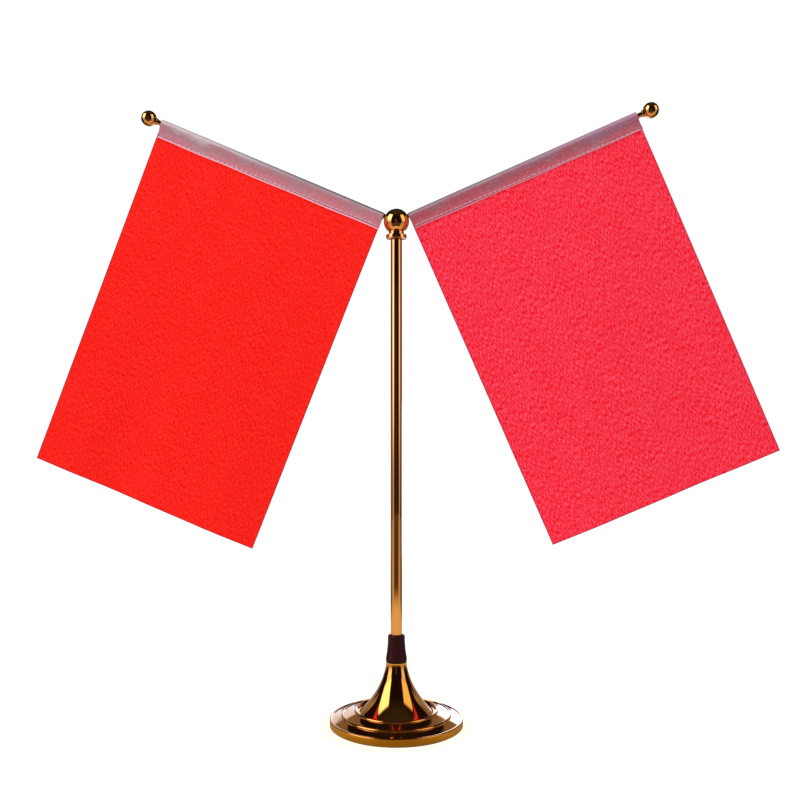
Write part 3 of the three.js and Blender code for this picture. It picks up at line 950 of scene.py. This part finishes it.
def map_place(tree, stretch=(1, 1, 1)):
    """A sheet's own map in metres, stretched so that a pattern can run one way."""
    mapping = tree.nodes.new("ShaderNodeMapping")
    mapping.inputs["Scale"].default_value = stretch
    tree.links.new(tree.nodes.new("ShaderNodeUVMap").outputs[0], mapping.inputs["Vector"])
    return mapping.outputs[0]


def map_part(tree, part):
    """One direction of a sheet's own map: X outwards along the rod, Y up across the cloth."""
    node = tree.nodes.new("ShaderNodeSeparateXYZ")
    tree.links.new(map_place(tree), node.inputs[0])
    return node.outputs[part]


def panel_cloth(name, deep, bright, dark_edge, stretch, scale, low, high):
    """Brushed polyester: streaks between two reds, and a dark line along the three cut sides."""
    finish, tree, shader = new_finish(name, deep, 0.85)
    streaks = add_effect(tree, STREAKS, map_place(tree, stretch), Scale=scale, Low=low, High=high)
    cloud = noise(tree, map_place(tree, (1, 0.5, 1)), 70, 3, 0.6)
    worn = ramp_between(tree, cloud, 0.35, 0.65, 0.85, 1.0)
    streak = maths(tree, "MULTIPLY", streaks.outputs["Streak"], worn)
    red = colour_mix(tree, streak, deep, bright)
    # Darker in a thin band along the three cut sides.
    across = map_part(tree, "X")
    from_side = maths(tree, "MINIMUM", across, maths(tree, "SUBTRACT", PANEL_CUT[0], across))
    from_side = maths(tree, "MINIMUM", from_side, map_part(tree, "Y"))
    inside = ramp_between(tree, from_side, *DARK_EDGE_BAND)
    tree.links.new(colour_mix(tree, inside, dark_edge, red), shader.inputs["Base Color"])
    shader.inputs["Specular IOR Level"].default_value = 0.05
    bump(tree, shader, streak, 0.05 * MM, 0.6)
    return finish


PANEL_FINISH = {
    "left": panel_cloth(
        "scarlet_polyester", (0.95, 0.007, 0.003), (1.0, 0.038, 0.029), (0.42, 0.004, 0.03),
        (1, 0.26, 1), 2000.0, 0.42, 0.60,
    ),
    # The same red as the left panel, with a painted sheen: a bluer red and pinker streaks.
    "right": panel_cloth(
        "red_polyester_painted_sheen", (0.93, 0.005, 0.014), (1.0, 0.088, 0.155), (0.42, 0.008, 0.07),
        (1, 0.22, 1), 2000.0, 0.45, 0.57,
    ),
}

for side, slot in (("left", "scarlet_cloth"), ("right", "crimson_cloth")):
    panel = cloth(f"{side}_red_flag", side, PANEL_CUT, *PANEL_GRID, hanging(side), PANEL_THICKNESS)
    panel.data.materials.append(PANEL_FINISH[side])
    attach(panel, f"{side}_flag")
    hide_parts(f"{side}_flag_panel")

# ---------------------------------------------------------------- sleeves
# A strip of thin white satin folded over each rod, with the panel's top edge between its two edges. The
# red cloth shows through it near the seam. It is cut across, turned under and sewn through.

SLEEVE_DEPTH = 8.3 * MM  # edge of the strip below the rod's axis
SLEEVE_PLY = 0.24 * MM
SLEEVE_HALF_GAP = 0.42 * MM
SLEEVE_PINCH = 5.6 * MM
SLEEVE_LOOP = (1.95 * MM, 2.2 * MM)  # loop radius at the hub end and at the ball end
SLEEVE_RIDE = (-0.2 * MM, 0.25 * MM)  # height of the loop's middle at each end
SLEEVE_PULLS = (1.6 * MM, 1.3 * MM)  # of the flat side's curve, above the pinch and below the loop
SLEEVE_TOUCH = math.radians(202)  # where the flat side leaves the loop
SLEEVE_SLIP = {"left": -0.9 * MM, "right": 0.4 * MM}  # how far the sewn edge slips along the rod
EDGE_STEPS, SIDE_STEPS, FOLD_STEPS = 6, 8, 14
PUCKER_DEPTH = 0.06 * MM
PUCKERS = 23
EDGE_SWAY = 0.12 * MM
EDGE_SWAYS = 3.3
SEAM_STARTS = 3 * MM  # below the rod's axis: from here down the sleeve slips, puckers and sways
SEAM_REACH = 5 * MM
SLEEVE_COLUMNS = 140

# Tones of the satin by distance from the fold, from the cut edge, or along the rod: among them painted shade
# at the fold, a painted sheen line, painted glints and a painted highlight on the hem.
FOLD_SHADE_ENDS = (2.2 * MM, 4.2 * MM)
FOLD_SHADE_WANES = (20 * MM, 130 * MM)
UPPER_ENDS = (2.8 * MM, 5.8 * MM)
LOWER_STARTS = (5.2 * MM, 8.2 * MM)
PAINTED_SHEEN_LINE = (3.5 * MM, 3.8 * MM, 0.4 * MM)
TUCK_LINE = (0.75 * MM, 1.4 * MM, 0.2 * MM)
HEM_HIGHLIGHT_ENDS = (0.35 * MM, 0.8 * MM)
FAR_END_STARTS = (40 * MM, 125 * MM)
FAR_RISE = 1.5 * MM
CLOUD_DRIFT = 12 * MM
PAINTED_GLINT_TONE = (0.8, 0.74, 0.76)
PAINTED_SHEEN_TONE = (0.75, 0.7, 0.74)
TUCK_TONE = (0.30, 0.10, 0.16)


def sleeve_section(across):
    """Half of the section as points of (depth, height), from the strip's front edge to the fold."""
    radius = between(*SLEEVE_LOOP, across)
    middle = Vector((0, between(*SLEEVE_RIDE, across)))
    meets = middle + radius * Vector((math.cos(SLEEVE_TOUCH), math.sin(SLEEVE_TOUCH)))
    up = Vector((math.sin(SLEEVE_TOUCH), -math.cos(SLEEVE_TOUCH)))
    pinch = Vector((-SLEEVE_HALF_GAP, -SLEEVE_PINCH))
    above_pinch = pinch + Vector((0, SLEEVE_PULLS[0]))
    below_loop = meets - up * SLEEVE_PULLS[1]
    side = interpolate_bezier(pinch, above_pinch, below_loop, meets, SIDE_STEPS)
    edge = [
        Vector((-SLEEVE_HALF_GAP, -between(SLEEVE_DEPTH, SLEEVE_PINCH, step / EDGE_STEPS)))
        for step in range(EDGE_STEPS)
    ]
    turns = [between(SLEEVE_TOUCH, math.pi / 2, step / FOLD_STEPS) for step in range(1, FOLD_STEPS + 1)]
    fold = [middle + radius * Vector((math.cos(turn), math.sin(turn))) for turn in turns]
    return [*edge, *[point.to_2d() for point in side], *fold]


half_section = sleeve_section(0)
SLEEVE_ROWS = 2 * (len(half_section) - 1)
half_length = sum((after - before).length for before, after in zip(half_section, half_section[1:]))
SLEEVE_CUT = (PANEL_CUT[0], 2 * half_length)


def folded_over(side):
    """How the sleeve lies: folded over the rod, a little puckered along its seam."""
    ends = HANGS[side]["top"]

    def place(across, down):
        row = round(down * SLEEVE_ROWS)
        behind = row > SLEEVE_ROWS / 2
        section = sleeve_section(across)
        depth, height = section[SLEEVE_ROWS - row if behind else row]
        low = min(1, max(0, (-height - SEAM_STARTS) / SEAM_REACH))
        slip = SLEEVE_SLIP[side] * low
        pucker = PUCKER_DEPTH * low * math.sin(math.tau * across * PUCKERS)
        edge = EDGE_SWAY * low * math.sin(math.tau * across * EDGE_SWAYS)
        return Vector((
            between(*ends, across) + slip * (0.3 + 0.7 * across),
            (-depth if behind else depth) + pucker,
            height + edge,
        ))

    return place


def sleeve_satin(name, fold, upper, far_upper, middle, lower, hem):
    """Thin satin: painted shade at the fold with grey below it, redder towards the seam, painted pearly
    glints, a painted sheen line, and a painted highlight along the turned edge.
    """
    finish, tree, shader = new_finish(name, middle, 0.5)
    around = map_part(tree, "Y")
    from_fold = maths(tree, "ABSOLUTE", maths(tree, "SUBTRACT", around, SLEEVE_CUT[1] / 2))
    along = map_part(tree, "X")
    cloud = noise(tree, map_place(tree, (0.3, 1, 1)), 160, 4, 0.6)
    pearl = noise(tree, map_place(tree, (0.5, 1, 1)), 1300, 3, 0.6)
    drift = maths(tree, "MULTIPLY", maths(tree, "SUBTRACT", cloud, 0.5), CLOUD_DRIFT)
    far = ramp_between(tree, along, *FAR_END_STARTS)
    shade = maths(tree, "ADD", from_fold, drift)
    shade = maths(tree, "SUBTRACT", shade, maths(tree, "MULTIPLY", far, FAR_RISE))
    top = colour_mix(tree, far, upper, far_upper)
    tone = colour_mix(tree, ramp_between(tree, shade, *UPPER_ENDS), top, middle)
    tone = colour_mix(tree, ramp_between(tree, shade, *LOWER_STARTS), tone, lower)
    # Painted pearly glints over the satin.
    painted_glint = maths(tree, "MULTIPLY", ramp_between(tree, pearl, 0.48, 0.7), 0.16)
    tone = colour_mix(tree, painted_glint, tone, PAINTED_GLINT_TONE)
    # A painted sheen line a little below the fold.
    painted_sheen = maths(tree, "MULTIPLY", soft_window(tree, from_fold, *PAINTED_SHEEN_LINE), 0.12)
    tone = colour_mix(tree, painted_sheen, tone, PAINTED_SHEEN_TONE)
    # Painted shade along the fold, weaker towards the ball end.
    painted_fold_shade = ramp_between(tree, from_fold, *FOLD_SHADE_ENDS, 1, 0)
    painted_fold_shade = maths(tree, "MULTIPLY", painted_fold_shade, ramp_between(tree, along, *FOLD_SHADE_WANES, 1, 0.4))
    tone = colour_mix(tree, painted_fold_shade, tone, fold)
    from_edge = maths(tree, "SUBTRACT", SLEEVE_CUT[1] / 2, from_fold)
    tuck = maths(tree, "MULTIPLY", soft_window(tree, from_edge, *TUCK_LINE), 0.6)
    tone = colour_mix(tree, tuck, tone, TUCK_TONE)
    # A painted highlight along the turned edge.
    tone = colour_mix(tree, ramp_between(tree, from_edge, *HEM_HIGHLIGHT_ENDS, 1, 0), tone, hem)
    tree.links.new(tone, shader.inputs["Base Color"])
    shader.inputs["Specular IOR Level"].default_value = 0.12
    bump(tree, shader, cloud, 0.25 * MM, 0.5)
    return finish


# In each, fold is a painted shade at the fold, and hem a painted highlight along the turned edge.
SLEEVE_FINISH = {
    "left": sleeve_satin(
        "white_satin_over_scarlet",
        fold=(0.085, 0.075, 0.082),
        upper=(0.31, 0.245, 0.27),
        far_upper=(0.58, 0.49, 0.52),
        middle=(0.47, 0.25, 0.28),
        lower=(0.58, 0.195, 0.24),
        hem=(1.0, 0.46, 0.55),
    ),
    "right": sleeve_satin(
        "white_satin_over_right_panel",
        fold=(0.12, 0.10, 0.115),
        upper=(0.34, 0.225, 0.26),
        far_upper=(0.35, 0.18, 0.27),
        middle=(0.39, 0.15, 0.19),
        lower=(0.51, 0.095, 0.135),
        hem=(0.80, 0.21, 0.28),
    ),
}

for side in ("left", "right"):
    sleeve = cloth(
        f"{side}_satin_sleeve", side, SLEEVE_CUT, SLEEVE_COLUMNS, SLEEVE_ROWS, folded_over(side), SLEEVE_PLY
    )
    sleeve.data.materials.append(SLEEVE_FINISH[side])
    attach(sleeve, f"{side}_flag")
    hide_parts(f"{side}_flag_sleeve")

# ---------------------------------------------------------------- seam stitches
# One row of white lockstitch along each sleeve, with a stitch on the front and one on the back. It holds
# the sleeve's two edges and the panel together.

STITCH_PITCH = 3.0 * MM
STITCH_LENGTH = 2.8 * MM
STITCH_THICKNESS = 0.35 * MM
STITCH_ABOVE_EDGE = 1.9 * MM
STITCH_PROUD = 0.06 * MM  # its middle above the face of the sleeve
FIRST_STITCH = 2.4 * MM
STITCH_TILT = math.radians(0.45)  # the row runs towards the edge at the ball end
STITCHES = 46

thread, tree, shader = new_finish("white_thread", (0.86, 0.72, 0.74), 0.7)
twist = noise(tree, object_place(tree), 5000, 2)
tree.links.new(
    colour_mix(tree, twist, (0.70, 0.52, 0.56), (0.95, 0.86, 0.87)), shader.inputs["Base Color"]
)
bump(tree, shader, twist, 0.04 * MM)

for side in ("left", "right"):
    for facing, back in (("front", -1), ("back", 1)):
        bpy.ops.object.select_all(action="DESELECT")
        bpy.ops.mesh.primitive_uv_sphere_add(segments=8, ring_count=5, radius=0.5)
        stitch = bpy.context.object
        stitch.name = stitch.data.name = f"{side}_{facing}_stitches"
        stitch.scale = (STITCH_LENGTH, STITCH_THICKNESS, STITCH_THICKNESS)
        bpy.ops.object.transform_apply(location=False, rotation=False, scale=True)
        row = stitch.modifiers.new("row", "ARRAY")
        row.count = STITCHES
        row.use_relative_offset = False
        row.use_constant_offset = True
        row.constant_offset_displace = (STITCH_PITCH, 0, 0)
        bpy.ops.object.modifier_apply(modifier=row.name)
        start = HANGS[side]["top"][0] + FIRST_STITCH
        off_panel = back * (SLEEVE_HALF_GAP + SLEEVE_PLY / 2 + STITCH_PROUD)
        stitch.matrix_world = rod_space(side) @ Matrix.Translation(
            (start, off_panel, -SLEEVE_DEPTH + STITCH_ABOVE_EDGE)
        ) @ Matrix.Rotation(STITCH_TILT, 4, "Y")
        bpy.ops.object.transform_apply(location=True, rotation=True, scale=True)
        bpy.ops.object.shade_smooth()
        stitch.data.materials.append(thread)
        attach(stitch, f"{side}_flag")
        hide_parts(f"{side}_{facing}_seam_thread")
